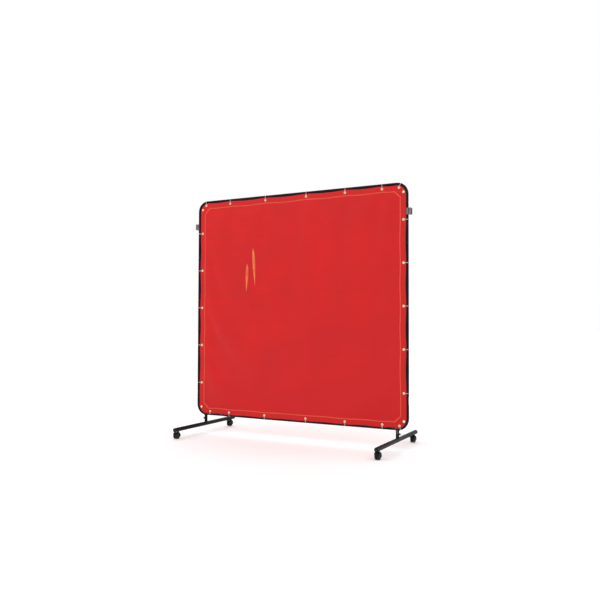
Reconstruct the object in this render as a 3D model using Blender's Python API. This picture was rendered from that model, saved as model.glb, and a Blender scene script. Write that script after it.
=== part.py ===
"""Portable welding curtain screen: a tubular frame on two caster legs, with a laced-in PVC curtain.

Blender 4.5, metres, +Z up. The origin is on the floor under the middle of the frame. +X runs along
the width to the right, -Y is the front, where the curtain lies, and +Y is the back.
"""
import math

import bmesh
import bpy
from mathutils import Matrix, Vector

# Frame, measured over the outside of its tubes
frame_width = 1.860
frame_height = 1.800
tube_diameter = 0.025
tube_wall = 0.0015
bend_radius = 0.075            # centreline of each rounded corner
upper_arm_height = 0.150       # frame's top edge down to the joint with the upright
lower_arm_height = 0.186       # frame's bottom edge up to the joint with the upright
arm_width = 0.160              # frame's side edge in to the joint with a rail

# Push-fit joints between the tubes
spigot_depth = 0.050           # length of reduced tube inside the corner piece
swage_length = 0.006           # cone between the full and the reduced diameter
exposed_neck = {"left": 0.0, "right": 0.056}   # reduced tube left in sight above the lower joint

# Legs
leg_length = 0.832
leg_diameter = 0.032
leg_wall = 0.002
leg_to_frame = 0.054           # clear height between the leg and the frame's underside
stub_height = 0.046            # upright stub on the leg that the frame's post slips over
end_cap_head = 0.005
end_cap_plug = 0.018
end_cap_wall = 0.0025
end_cap_rounding = 0.0032      # the head's face is smaller than its rim by this

# Clamp bolt through each post
bolt_diameter = 0.008
bolt_head_across = 0.013
bolt_head_height = 0.0053
nut_height = 0.0065

# Casters
wheel_diameter = 0.050
wheel_width = 0.0145
web_width = 0.007
hood_thickness = 0.002
caster_trail = 0.018           # swivel axis to axle
caster_inset = 0.042           # leg's end to swivel axis
collar_height = 0.002          # boss above the hood, which bears under the leg
boss_diameter = 0.017
stem_diameter = 0.010
stem_length = 0.020
axle_diameter = 0.006
hub_floor = 0.004              # closed outer face of each wheel's hub
tread_edge = 0.001             # chamfer on a tread's inner side
tread_width = 0.0087           # from the inner face to where the outer face starts to curve
wheel_face = ((0.88, 0.88), (0.62, 1.0))   # its curve, as shares of the (radius, width)
web_radius = 0.020
# The hood's lower edge from front to back, from the axle, as shares of the hood's radius
hood_edge = ((-4.0, -0.35), (0.0, -0.35), (0.5, 0.45), (4.0, 0.75))

# Curtain
curtain_left_gap = 0.032       # frame's outside in to the curtain's edge, on each side
curtain_right_gap = 0.016
curtain_top_gap = 0.022
curtain_bottom_gap = 0.017
curtain_thickness = 0.001
curtain_corner = 0.075         # radius of its rounded corners
eyelet_hole = 0.012            # diameter
eyelet_inset = 0.018           # hole's centre in from the curtain's edge
corner_eyelet = 0.052          # last hole's centre from the neighbouring edge
post_eyelet = 0.105            # the same for the lower left hole, whose tie misses the post
# Places of the inner holes between the middle (0) and the last hole (1) of an edge
rail_eyelets = (-0.717, -0.322, 0.110, 0.498, 0.846)
side_eyelets = (-0.757, -0.378, 0.0, 0.378, 0.757)

# Cable ties
tie_width = 0.0048
tie_thickness = 0.0012
tie_head = 0.0045              # how far the head stands out from the band
tie_bend = 0.003               # inside radius where the band turns through the hole

# Coupling clips
clip_height = 0.048
clip_wall = 0.003
clip_above_tie = 0.0593        # uppermost tied hole of the side row up to the clip's middle
clip_mouth = math.radians(62)  # half of the angle that the jaw leaves open
clip_front_end = math.radians(-86)   # ends of the collar around the upright, from outwards
clip_back_end = math.radians(150)

# Clearances
seat_gap = 0.0003              # between pieces that touch
running_gap = 0.0005           # between pieces that turn on each other

# Facets around a circle, and along a quarter bend
tube_sides = 16
leg_sides = 20
wheel_sides = 24
hood_sides = 28
boss_sides = 16
pin_sides = 12
clip_sides = 24
hole_sides = 10
bend_steps = 6

# Sizes that follow
tube_radius = tube_diameter / 2
bore_radius = tube_radius - tube_wall
spigot_radius = bore_radius - seat_gap
leg_radius = leg_diameter / 2
wheel_radius = wheel_diameter / 2
hood_radius = wheel_radius + running_gap + hood_thickness
hood_width = web_width + 2 * (running_gap + wheel_width)
leg_axis_z = wheel_radius + hood_radius + collar_height + seat_gap + leg_radius
frame_bottom = leg_axis_z + leg_radius + leg_to_frame
frame_top = frame_bottom + frame_height
upright_x = frame_width / 2 - tube_radius
post_x = upright_x - bend_radius
swivel_y = leg_length / 2 - caster_inset
side_sign = {"left": -1, "right": 1}
end_sign = {"front": -1, "back": 1}
# A post, and the stub inside it, turn a flat and not an edge to each side
half_facet = Vector((math.cos(math.pi / tube_sides), math.sin(math.pi / tube_sides), 0))
# A leg has a flat uppermost, under its post
leg_facet = Vector((math.cos(math.pi / leg_sides), 0, math.sin(math.pi / leg_sides)))


def make_material(name, hex_colour, roughness, metallic=0.0):
    """A Principled material from a display colour such as 'D3292B'."""
    channels = [int(hex_colour[i:i + 2], 16) / 255 for i in (0, 2, 4)]
    linear = [c / 12.92 if c <= 0.04045 else ((c + 0.055) / 1.055) ** 2.4 for c in channels]
    material = bpy.data.materials.new(name)
    material.use_nodes = True
    shader = material.node_tree.nodes["Principled BSDF"]
    shader.inputs["Base Color"].default_value = (*linear, 1.0)
    shader.inputs["Roughness"].default_value = roughness
    shader.inputs["Metallic"].default_value = metallic
    return material


def add_mesh(name, bm, material):
    """Turn a closed bmesh into a smooth-shaded object with its faces pointing out."""
    bmesh.ops.recalc_face_normals(bm, faces=bm.faces)
    mesh = bpy.data.meshes.new(name)
    bm.to_mesh(mesh)
    bm.free()
    mesh.shade_smooth()
    mesh.set_sharp_from_angle(angle=math.radians(35))
    if material:
        mesh.materials.append(material)
    return add_copy(name, mesh)


def add_copy(name, mesh):
    """One more object that uses a mesh."""
    obj = bpy.data.objects.new(name, mesh)
    bpy.context.scene.collection.objects.link(obj)
    return obj


def add_empty(name, location):
    """An empty that stands on a joint's axis and carries the pieces that turn there."""
    empty = bpy.data.objects.new(name, None)
    empty.location = location
    bpy.context.scene.collection.objects.link(empty)
    return empty


def circle(centre, across, up, radius, sides):
    """Points around a circle that lies in the plane of two unit vectors."""
    angles = [2 * math.pi * i / sides for i in range(sides)]
    return [centre + radius * (math.cos(a) * across + math.sin(a) * up) for a in angles]


def bridge(bm, lower, upper):
    """Faces between two rings of vertices, where a ring of one vertex is a pole."""
    count = max(len(lower), len(upper))
    for i in range(count):
        j = (i + 1) % count
        corners = [lower[i % len(lower)], lower[j % len(lower)],
                   upper[j % len(upper)], upper[i % len(upper)]]
        bm.faces.new(list(dict.fromkeys(corners)))


def turned_bmesh(profile, sides, axis=Vector((0, 0, 1)), across=Vector((1, 0, 0))):
    """Turn a profile of (radius, distance along the axis) into a closed solid.

    A profile that starts and ends at radius 0 is solid, and any other one is a closed loop.
    """
    bm = bmesh.new()
    up = axis.cross(across)
    rings = []
    for radius, distance in profile:
        points = circle(axis * distance, across, up, radius, sides) if radius else [axis * distance]
        rings.append([bm.verts.new(point) for point in points])
    for lower, upper in zip(rings, rings[1:]):
        bridge(bm, lower, upper)
    if profile[0][0]:
        bridge(bm, rings[-1], rings[0])
    return bm


def cylinder_profile(radius, start, end):
    return [(0, start), (radius, start), (radius, end), (0, end)]


def add_cylinder(name, radius, start, end, sides, axis=Vector((0, 0, 1)), across=Vector((1, 0, 0))):
    """A plain solid cylinder along an axis through the object's origin."""
    return add_mesh(name, turned_bmesh(cylinder_profile(radius, start, end), sides, axis, across), None)


def add_swept(name, path, radius, material):
    """A solid round bar along a path in the XZ plane, given as (point, sideways) pairs."""
    bm = bmesh.new()
    front = Vector((0, -1, 0))
    rings = [[bm.verts.new(p) for p in circle(point, sideways, front, radius, tube_sides)]
             for point, sideways in path]
    for lower, upper in zip(rings, rings[1:]):
        bridge(bm, lower, upper)
    bm.faces.new(rings[0])
    bm.faces.new(rings[-1])
    return add_mesh(name, bm, material)


def add_prism(name, outline, depth, normal, material=None):
    """Extrude a flat closed outline along its normal."""
    bm = bmesh.new()
    base = [bm.verts.new(point) for point in outline]
    tip = [bm.verts.new(point + normal * depth) for point in outline]
    bm.faces.new(base)
    bm.faces.new(tip)
    bridge(bm, base, tip)
    return add_mesh(name, bm, material)


def combine(obj, tool, operation):
    """Add a tool to an object's solid, or cut it away, with an exact Boolean."""
    modifier = obj.modifiers.new(tool.name, "BOOLEAN")
    modifier.operation = operation
    modifier.solver = "EXACT"
    modifier.object = tool
    tool.hide_render = True
    tool.display_type = "WIRE"


# Frame tubes

def corner_path(side, level):
    """Centreline of a corner piece, from the end of its upright arm to the end of its rail arm."""
    s = side_sign[side]
    upper = level == "upper"
    v = 1 if upper else -1
    edge = frame_top if upper else frame_bottom
    arm_height = upper_arm_height if upper else lower_arm_height
    rail_z = edge - v * tube_radius
    centre = Vector((s * post_x, 0, rail_z - v * bend_radius))
    outward = Vector((s, 0, 0))
    path = [(Vector((s * upright_x, 0, edge - v * arm_height)), outward)]
    for i in range(bend_steps + 1):
        angle = math.pi / 2 * i / bend_steps
        radial = Vector((s * math.cos(angle), 0, v * math.sin(angle)))
        path.append((centre + bend_radius * radial, radial))
    path.append((Vector((s * (frame_width / 2 - arm_width), 0, rail_z)), Vector((0, 0, v))))
    return path


def lengthened(path, extra):
    """The same path, run on past both ends, for a bore that cuts right through."""
    (first, first_side), (second, _) = path[:2]
    (last, last_side), (before, _) = path[-1], path[-2]
    start = first + (first - second).normalized() * extra
    end = last + (last - before).normalized() * extra
    return [(start, first_side), *path[1:-1], (end, last_side)]


def add_corner(side, level, material):
    """A bent corner tube whose bores take the spigots of an upright and a rail."""
    name = f"frame_corner_{level}_{side}"
    path = corner_path(side, level)
    corner = add_swept(name, path, tube_radius, material)
    bore = add_swept(name + "_bore", lengthened(path, tube_diameter), bore_radius, None)
    if level == "lower":
        add_post(corner, side)
    combine(corner, bore, "DIFFERENCE")
    if level == "lower":
        cut_clamp_hole(corner, side)
    return corner


def add_post(corner, side):
    """The post below a lower corner: a tube that slips over the leg's stub, with a clamp nut."""
    s = side_sign[side]
    foot_z = leg_axis_z + leg_radius + seat_gap
    top = frame_bottom + tube_radius - seat_gap   # just below the rail's axis, inside its tube
    ceiling = frame_bottom - tube_wall
    profile = [(0, ceiling), (bore_radius, ceiling), (bore_radius, foot_z), (tube_radius, foot_z),
               (tube_radius, top), (0, top)]
    post = add_mesh(f"post_{side}", turned_bmesh(profile, tube_sides, across=half_facet), None)
    outward = Vector((s, 0, 0))
    nut = add_cylinder(f"clamp_nut_{side}", hexagon_radius(), tube_wall, tube_radius + nut_height, 6,
                       outward, Vector((0, 0, 1)))
    saddle = add_cylinder(f"nut_saddle_{side}", bore_radius + tube_wall / 2, foot_z, ceiling, tube_sides,
                          across=half_facet)
    for tool in (post, saddle):
        tool.location.x = s * post_x
    nut.location = clamp_centre(side)
    combine(nut, saddle, "DIFFERENCE")
    combine(corner, post, "UNION")
    combine(corner, nut, "UNION")


def cut_clamp_hole(corner, side):
    """The clamp bolt's hole through the nut and the wall of the post."""
    outward = Vector((side_sign[side], 0, 0))
    hole = add_cylinder(f"clamp_hole_{side}", bolt_diameter / 2 + seat_gap, 0.0,
                        tube_diameter + nut_height, pin_sides, outward, Vector((0, 0, 1)))
    hole.location = clamp_centre(side)
    combine(corner, hole, "DIFFERENCE")


def hexagon_radius():
    return bolt_head_across / math.sqrt(3)


def clamp_centre(side):
    """Where a clamp bolt's axis meets the axis of its post."""
    height = leg_axis_z + leg_radius + leg_to_frame / 2
    return Vector((side_sign[side] * post_x, 0, height))


def straight_profile(start, end, start_neck=0.0):
    """Wall of a straight tube between two joints, with a reduced spigot beyond each shoulder."""
    spigot_bore = spigot_radius - tube_wall
    low = start + start_neck
    cone_low = low + swage_length
    cone_high = end - swage_length
    outer = [(spigot_radius, start - spigot_depth), (spigot_radius, low), (tube_radius, cone_low),
             (tube_radius, cone_high), (spigot_radius, end), (spigot_radius, end + spigot_depth)]
    inner = [(spigot_bore, end + spigot_depth), (spigot_bore, end), (bore_radius, cone_high),
             (bore_radius, cone_low), (spigot_bore, low), (spigot_bore, start - spigot_depth)]
    return outer + inner


def add_upright(side, material):
    start = frame_bottom + lower_arm_height + seat_gap
    end = frame_top - upper_arm_height - seat_gap
    profile = straight_profile(start, end, exposed_neck[side])
    upright = add_mesh(f"upright_{side}", turned_bmesh(profile, tube_sides), material)
    upright.location.x = side_sign[side] * upright_x
    return upright


def add_rail(name, height, material):
    end = frame_width / 2 - arm_width - seat_gap
    along = Vector((1, 0, 0))
    rail = add_mesh(name, turned_bmesh(straight_profile(-end, end), tube_sides, along, Vector((0, 1, 0))),
                    material)
    rail.location.z = height
    return rail


# Legs

def add_leg(side, material):
    """A leg tube with open ends, an upright stub, and a hole near each end for a caster's stem."""
    along = Vector((0, 1, 0))
    half = leg_length / 2
    leg = add_cylinder(f"leg_{side}", leg_radius, -half, half, leg_sides, along, leg_facet)
    leg.data.materials.append(material)
    leg.location = (side_sign[side] * post_x, 0, leg_axis_z)
    stub_top = leg_radius + stub_height
    stub = add_cylinder(f"stub_{side}", spigot_radius, 0.0, stub_top, tube_sides, across=half_facet)
    stub_bore = add_cylinder(f"stub_bore_{side}", spigot_radius - tube_wall, leg_radius + leg_wall,
                             stub_top + leg_wall, tube_sides, across=half_facet)
    bore = add_cylinder(f"leg_bore_{side}", leg_radius - leg_wall, -leg_length, leg_length, leg_sides,
                        along, leg_facet)
    for tool in (stub, stub_bore, bore):
        tool.location = leg.location
    combine(leg, stub, "UNION")
    combine(leg, stub_bore, "DIFFERENCE")
    for end, sign in end_sign.items():
        stem_hole = add_cylinder(f"stem_hole_{end}_{side}", stem_diameter / 2 + running_gap,
                                 -leg_diameter, 0.0, tube_sides, across=half_facet)
        stem_hole.location = leg.location + Vector((0, sign * swivel_y, 0))
        combine(leg, stem_hole, "DIFFERENCE")
    combine(leg, bore, "DIFFERENCE")
    return leg


def end_cap_bmesh():
    """A leg's plug: a hollow shank inside the tube and a slightly domed head over its end."""
    shank = leg_radius - leg_wall - seat_gap
    hollow = shank - end_cap_wall
    face = leg_radius - end_cap_rounding
    profile = [(0, 0), (hollow, 0), (hollow, -end_cap_plug), (shank, -end_cap_plug), (shank, seat_gap),
               (leg_radius, seat_gap), (leg_radius, end_cap_head / 2), (face, end_cap_head),
               (0, end_cap_head)]
    return turned_bmesh(profile, leg_sides)


# Clamp bolts

def add_bolt(side, material):
    """A hexagon-head bolt through the post's nut, with its tip against the leg's stub."""
    under_head = tube_radius + nut_height + seat_gap
    tip = spigot_radius + seat_gap
    outward = Vector((side_sign[side], 0, 0))
    upwards = Vector((0, 0, 1))
    name = f"clamp_bolt_{side}"
    bolt = add_cylinder(name, bolt_diameter / 2, tip, under_head + bolt_head_height / 2, pin_sides,
                        outward, upwards)
    bolt.data.materials.append(material)
    bolt.location = clamp_centre(side)
    head = add_cylinder(name + "_head", hexagon_radius(), under_head, under_head + bolt_head_height, 6,
                        outward, upwards)
    head.location = bolt.location
    combine(bolt, head, "UNION")
    return bolt


# Casters, modelled trailing along +Y from a swivel axis at the origin, with the floor at Z = 0

def wheel_bmesh():
    """A wheel turned about X, with a blind bore on its inner side (X = 0) and a domed outer face."""
    hub = axle_diameter / 2 + running_gap
    hub_end = wheel_width - hub_floor
    half_turn = math.pi / wheel_sides
    tread = wheel_radius / math.cos(half_turn)   # the flats between its edges touch the true circle
    curve = [(tread * radial, wheel_width * outward) for radial, outward in wheel_face]
    profile = [(0, hub_end), (hub, hub_end), (hub, 0), (tread - tread_edge, 0), (tread, tread_edge),
               (tread, tread_width), *curve, (0, wheel_width)]
    lowest_flat = Vector((0, math.sin(half_turn), -math.cos(half_turn)))
    return turned_bmesh(profile, wheel_sides, Vector((1, 0, 0)), lowest_flat)


def caster_body(name, material):
    """Hood, web, boss and stem in one moulding, without the wheels and the axle."""
    across = Vector((1, 0, 0))
    upwards = Vector((0, 0, 1))
    axle = Vector((0, caster_trail, wheel_radius))
    half = hood_width / 2
    hood_top = wheel_radius + hood_radius + collar_height
    body = add_cylinder(name, hood_radius, -half, half, hood_sides, across, upwards)
    body.data.materials.append(material)
    body.data.transform(Matrix.Translation(axle))
    boss = add_cylinder(name + "_boss", boss_diameter / 2, wheel_radius, hood_top, boss_sides)
    pocket_radius = wheel_radius + running_gap
    pockets = [add_cylinder(f"{name}_pocket_{i}", pocket_radius, sign * web_width / 2, sign * hood_width,
                            hood_sides, across, upwards) for i, sign in enumerate((-1, 1))]
    (front, _), (back, _) = hood_edge[0], hood_edge[-1]
    below = [(back, front), (front, front)]
    opening = [hood_radius * Vector((0, y, z)) for y, z in (*hood_edge, *below)]
    mouth = add_prism(name + "_mouth", [point - 2 * half * across for point in opening], 4 * half, across)
    web = add_cylinder(name + "_web", web_radius, -web_width / 2, web_width / 2, boss_sides, across, upwards)
    axle_hole = add_cylinder(name + "_axle_hole", axle_diameter / 2 + seat_gap, -half, half, pin_sides,
                             across, upwards)
    stem = add_cylinder(name + "_stem", stem_diameter / 2, hood_top - collar_height,
                        hood_top + stem_length, boss_sides)
    for tool in (*pockets, mouth, web, axle_hole):
        tool.location = axle
    combine(body, boss, "UNION")
    for pocket in pockets:
        combine(body, pocket, "DIFFERENCE")
    combine(body, mouth, "DIFFERENCE")
    combine(body, web, "UNION")
    combine(body, axle_hole, "DIFFERENCE")
    combine(body, stem, "UNION")
    tools = [boss, *pockets, mouth, web, axle_hole, stem]
    return body, tools


def add_caster(end, side, materials, wheel_mesh, axle_mesh):
    """One twin-wheel caster. All four trail forward, as after a push backward."""
    name = f"caster_{end}_{side}"
    swivel = add_empty(name + "_swivel", (side_sign[side] * post_x, end_sign[end] * swivel_y, 0))
    swivel.rotation_euler.z = math.pi
    body, tools = caster_body(name + "_body", materials["caster"])
    for obj in (body, *tools):
        obj.parent = swivel
    axle = add_copy(name + "_axle", axle_mesh)
    axle.parent = swivel
    axle.location = (0, caster_trail, wheel_radius)
    # Seen from the front, the half turn has swapped the wheels.
    for sign, which in ((-1, "right"), (1, "left")):
        wheel = add_copy(f"{name}_wheel_{which}", wheel_mesh)
        wheel.parent = swivel
        wheel.location = (sign * (web_width / 2 + running_gap), caster_trail, wheel_radius)
        if sign < 0:
            wheel.rotation_euler.z = math.pi


# Curtain

def curtain_edges():
    """Left, right, bottom and top edges of the flat curtain."""
    return (curtain_left_gap - frame_width / 2, frame_width / 2 - curtain_right_gap,
            frame_bottom + curtain_bottom_gap, frame_top - curtain_top_gap)


def hole_rows():
    """Hole centres (x, z) along each edge, and the edges' own names."""
    left, right, bottom, top = curtain_edges()
    middle_x, middle_z = (left + right) / 2, (bottom + top) / 2
    reach_x = (right - left) / 2 - corner_eyelet
    reach_z = (top - bottom) / 2 - corner_eyelet
    across = [middle_x + reach_x * share for share in (-1, *rail_eyelets, 1)]
    below = [left + post_eyelet, *across[1:]]
    upward = [middle_z + reach_z * share for share in (-1, *side_eyelets, 1)]
    return {"top": [(x, top - eyelet_inset) for x in across],
            "bottom": [(x, bottom + eyelet_inset) for x in below],
            "left": [(left + eyelet_inset, z) for z in upward],
            "right": [(right - eyelet_inset, z) for z in upward]}


def add_curtain(material):
    """The curtain as one flat sheet in front of the tubes, with rounded corners and punched holes."""
    left, right, bottom, top = curtain_edges()
    back_y = -(tube_radius + seat_gap)
    corners = [(right, top, 0), (left, top, 1), (left, bottom, 2), (right, bottom, 3)]
    outline = []
    for x, z, quarter in corners:
        inward_x = -1 if x == right else 1
        inward_z = -1 if z == top else 1
        centre = Vector((x + inward_x * curtain_corner, back_y, z + inward_z * curtain_corner))
        for i in range(bend_steps + 1):
            angle = math.pi / 2 * (quarter + i / bend_steps)
            outline.append(centre + curtain_corner * Vector((math.cos(angle), 0, math.sin(angle))))
    loops = [outline]
    for row in hole_rows().values():
        loops += [circle(Vector((x, back_y, z)), Vector((1, 0, 0)), Vector((0, 0, 1)), eyelet_hole / 2,
                         hole_sides) for x, z in row]
    bm = bmesh.new()
    edges = []
    for loop in loops:
        verts = [bm.verts.new(point) for point in loop]
        edges += [bm.edges.new((a, b)) for a, b in zip(verts, verts[1:] + verts[:1])]
    sheet = bmesh.ops.triangle_fill(bm, edges=edges, use_beauty=True, use_dissolve=False)
    faces = [item for item in sheet["geom"] if isinstance(item, bmesh.types.BMFace)]
    front = bmesh.ops.extrude_face_region(bm, geom=faces, use_keep_orig=True)
    moved = [item for item in front["geom"] if isinstance(item, bmesh.types.BMVert)]
    bmesh.ops.translate(bm, verts=moved, vec=(0, -curtain_thickness, 0))
    return add_mesh("curtain", bm, material)


# Cable ties

def convex_outline(points):
    """The convex outline of flat points, in counter-clockwise order."""
    ordered = sorted(set(points))

    def chain(candidates):
        kept = []
        for p in candidates:
            while len(kept) > 1:
                (ax, ay), (bx, by) = kept[-2], kept[-1]
                if (bx - ax) * (p[1] - ay) - (by - ay) * (p[0] - ax) > 1e-12:
                    break
                kept.pop()
            kept.append(p)
        return kept[:-1]

    return chain(ordered) + chain(ordered[::-1])


def tie_outlines(edge_in, hole_in):
    """Inner and outer outline of a tie around a tube and through a hole.

    Both are flat (inward, forward) points from the tube's axis. edge_in and hole_in are the
    distances from that axis to the curtain's edge and to the middle of the hole.
    """
    back_face = tube_radius + seat_gap
    front_face = back_face + curtain_thickness
    around = 12
    tube_ring = (tube_radius + 2 * seat_gap) / math.cos(math.pi / around)
    points = [(edge_in, front_face + seat_gap)]
    for i in range(around):
        angle = 2 * math.pi * (i + 0.5) / around
        points.append((tube_ring * math.cos(angle), tube_ring * math.sin(angle)))
        if i % 2 == 0:
            points.append((hole_in + tie_bend * math.cos(angle),
                           (back_face + front_face) / 2 + tie_bend * math.sin(angle)))
    inner = [Vector(point) for point in convex_outline(points)]
    outer = []
    for i, here in enumerate(inner):
        before, after = inner[i - 1], inner[(i + 1) % len(inner)]
        first, second = (here - before).normalized(), (after - here).normalized()
        normal = (Vector((first.y, -first.x)) + Vector((second.y, -second.x))).normalized()
        thickness = tie_thickness
        if here.y < -0.9 * tube_radius:
            thickness = tie_thickness + tie_head
        outer.append(here + normal * thickness / max(0.5, normal.dot(Vector((first.y, -first.x)))))
    return inner, outer


def add_tie(name, hole, edge, material):
    """A closed band of a tie's width around the nearest stretch of tube and through one hole."""
    axis_point, inward = tube_beside(edge, hole)
    hole_in = (Vector(hole) - axis_point).length
    inner, outer = tie_outlines(hole_in - eyelet_inset, hole_in)
    bm = bmesh.new()
    rings = []
    for outline, z in ((inner, -1), (inner, 1), (outer, 1), (outer, -1)):
        rings.append([bm.verts.new((p.x, -p.y, z * tie_width / 2)) for p in outline])
    for lower, upper in zip(rings, rings[1:] + rings[:1]):
        bridge(bm, lower, upper)
    tie = add_mesh(name, bm, material)
    tie.location = (axis_point.x, 0, axis_point.y)
    tie.rotation_euler.y = -math.atan2(inward.y, inward.x)
    return tie


def tube_beside(edge, hole):
    """The point (x, z) of the tube's axis that is nearest to a hole, and the way from it to the hole."""
    x, z = hole
    if edge in side_sign:
        point = Vector((side_sign[edge] * upright_x, z))
    else:
        v = 1 if edge == "top" else -1
        rail_z = (frame_top if edge == "top" else frame_bottom) - v * tube_radius
        point = Vector((x, rail_z))
        if abs(x) > post_x:
            centre = Vector((math.copysign(post_x, x), rail_z - v * bend_radius))
            point = centre + bend_radius * (Vector(hole) - centre).normalized()
    return point, (Vector(hole) - point).normalized()


def add_ties(material):
    """A tie at every hole of the rails, and at the inner holes of the uprights."""
    for edge, row in hole_rows().items():
        holes = row[1:-1] if edge in side_sign else row
        for number, hole in enumerate(holes, start=1):
            add_tie(f"cable_tie_{edge}_{number}", hole, edge, material)


# Coupling clips

def add_clip(side, material):
    """A clip around the upright, with an outward jaw for the upright of the next screen."""
    s = side_sign[side]
    bore = tube_radius + running_gap
    outside = bore + clip_wall
    jaw_x = 2 * bore + clip_wall
    waist = math.acos(jaw_x / 2 / outside)   # where the two outer circles meet, from the collar
    opposite = math.pi - waist
    flat = arc(0, outside, clip_front_end, -waist)
    flat += arc(jaw_x, outside, -opposite, -clip_mouth)[1:]
    flat += arc(jaw_x, bore, -clip_mouth, clip_mouth - 2 * math.pi)
    flat += arc(jaw_x, outside, clip_mouth, opposite)
    flat += arc(0, outside, waist, clip_back_end)[1:]
    flat += arc(0, bore, clip_back_end, clip_front_end)
    outline = [Vector((s * x, y, -clip_height / 2)) for x, y in flat]
    clip = add_prism(f"coupling_clip_{side}", outline, clip_height, Vector((0, 0, 1)), material)
    tied_hole = hole_rows()[side][-2]
    clip.location = (s * upright_x, 0, tied_hole[1] + clip_above_tie)
    return clip


def arc(centre_x, radius, start, end):
    """Points (x, y) along an arc between two angles, about a centre on the X axis."""
    steps = max(2, round(abs(end - start) * clip_sides / (2 * math.pi)))
    angles = [start + (end - start) * i / steps for i in range(steps + 1)]
    return [(centre_x + radius * math.cos(a), radius * math.sin(a)) for a in angles]


def main():
    for obj in list(bpy.data.objects):
        bpy.data.objects.remove(obj)
    materials = {
        "frame": make_material("black_tube", "26272B", 0.38, 0.6),
        "plastic": make_material("black_plastic", "1B1B1D", 0.5),
        "caster": make_material("caster_plastic", "202023", 0.45),
        "wheel": make_material("caster_wheel", "2B2A2D", 0.55),
        "steel": make_material("zinc_steel", "8E9196", 0.35, 0.9),
        "clip": make_material("clip_plastic", "5B5257", 0.5),
        "tie": make_material("white_nylon", "E9E7E1", 0.45),
        "curtain": make_material("red_pvc", "D3292B", 0.3),
    }
    add_curtain(materials["curtain"])
    add_ties(materials["tie"])
    add_rail("rail_top", frame_top - tube_radius, materials["frame"])
    add_rail("rail_bottom", frame_bottom + tube_radius, materials["frame"])
    cap = add_mesh("end_cap", end_cap_bmesh(), materials["plastic"])
    wheel = add_mesh("wheel", wheel_bmesh(), materials["wheel"])
    axle_half = web_width / 2 + running_gap + wheel_width - hub_floor - running_gap
    axle = add_cylinder("axle", axle_diameter / 2, -axle_half, axle_half, pin_sides, Vector((1, 0, 0)),
                        Vector((0, 0, 1)))
    axle.data.materials.append(materials["steel"])
    cap_mesh, wheel_mesh, axle_mesh = cap.data, wheel.data, axle.data
    for pattern in (cap, wheel, axle):
        bpy.data.objects.remove(pattern)
    for side, s in side_sign.items():
        add_upright(side, materials["frame"])
        for level in ("upper", "lower"):
            add_corner(side, level, materials["frame"])
        add_leg(side, materials["frame"])
        add_bolt(side, materials["steel"])
        add_clip(side, materials["clip"])
        for end, sign in end_sign.items():
            end_cap = add_copy(f"end_cap_{end}_{side}", cap_mesh)
            end_cap.location = (s * post_x, sign * leg_length / 2, leg_axis_z)
            end_cap.rotation_euler.x = -sign * math.pi / 2
            add_caster(end, side, materials, wheel_mesh, axle_mesh)


main()
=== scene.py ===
"""Looks of a free-standing welding screen: a red PVC curtain tied into a wheeled tube frame."""
import functools
import math

import bmesh
import bpy
from bpy.props import FloatProperty, FloatVectorProperty, IntProperty, PointerProperty
from mathutils import Matrix, Vector, noise


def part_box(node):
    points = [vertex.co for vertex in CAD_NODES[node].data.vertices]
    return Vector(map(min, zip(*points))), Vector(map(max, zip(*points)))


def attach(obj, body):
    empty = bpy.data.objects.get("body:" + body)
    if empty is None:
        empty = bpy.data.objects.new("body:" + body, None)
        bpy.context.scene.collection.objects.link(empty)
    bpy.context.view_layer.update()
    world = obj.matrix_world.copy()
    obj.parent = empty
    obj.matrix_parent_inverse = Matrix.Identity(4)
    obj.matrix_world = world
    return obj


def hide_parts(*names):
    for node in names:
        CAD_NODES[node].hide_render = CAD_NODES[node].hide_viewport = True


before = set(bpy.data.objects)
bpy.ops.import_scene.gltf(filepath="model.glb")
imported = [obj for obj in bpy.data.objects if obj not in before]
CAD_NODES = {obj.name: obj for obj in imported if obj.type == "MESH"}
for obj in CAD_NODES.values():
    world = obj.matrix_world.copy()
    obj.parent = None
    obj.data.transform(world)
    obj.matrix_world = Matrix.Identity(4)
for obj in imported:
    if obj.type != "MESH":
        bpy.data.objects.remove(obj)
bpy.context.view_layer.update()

bl_info = {
    "name": "Welding screen",
    "version": (1, 0, 0),
    "blender": (4, 5, 0),
    "location": "View3D > Sidebar > Screen",
    "description": "Builds the curtain, ties, fittings and finishes of a wheeled welding screen",
    "category": "Add Mesh",
}

ACROSS, UP, FORWARD = Vector((1, 0, 0)), Vector((0, 0, 1)), Vector((0, -1, 0))
SIDES = ("left", "right")
SMALLEST_HOLE, LARGEST_HOLE = 0.010, 0.0135
HOLE_SIDES = 24


def linear(hex_colour):
    """Linear red, green and blue of an sRGB hex colour."""
    channels = [int(hex_colour[i:i + 2], 16) / 255 for i in (0, 2, 4)]
    return tuple(c / 12.92 if c <= 0.04045 else ((c + 0.055) / 1.055) ** 2.4 for c in channels)


def length_property(name, text, metres):
    return FloatProperty(name=name, description=text, default=metres, min=0.0, unit="LENGTH",
                         precision=5)


def colour_property(name, text, hex_colour):
    return FloatVectorProperty(name=name, description=text, default=linear(hex_colour), size=3,
                               min=0.0, max=1.0, subtype="COLOR")


# Sizes and colours

class CurtainSettings(bpy.types.PropertyGroup):
    colour: colour_property("Colour", "Red of the PVC sheet", "D00F11")
    # The shade colour serves the random drift of tone, the roll marks and the painted shade towards the
    # lower right.
    shade: colour_property("Shade", "Darker red where the sheet's tone drifts", "C01114")
    slack: FloatProperty(name="Slack", description="Share by which the sheet is longer than its frame",
                         default=0.0022, min=0.0, max=0.02)
    billow: length_property("Billow", "Furthest that the sheet swells out of its plane", 0.008)
    scallop: length_property("Scallop", "How far the edge draws in halfway between two ties", 0.005)
    scallop_reach: length_property("Scallop reach", "Distance from the edge where it fades out", 0.15)
    grid_step: length_property("Grid step", "Spacing of the finished mesh", 0.012)


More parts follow.
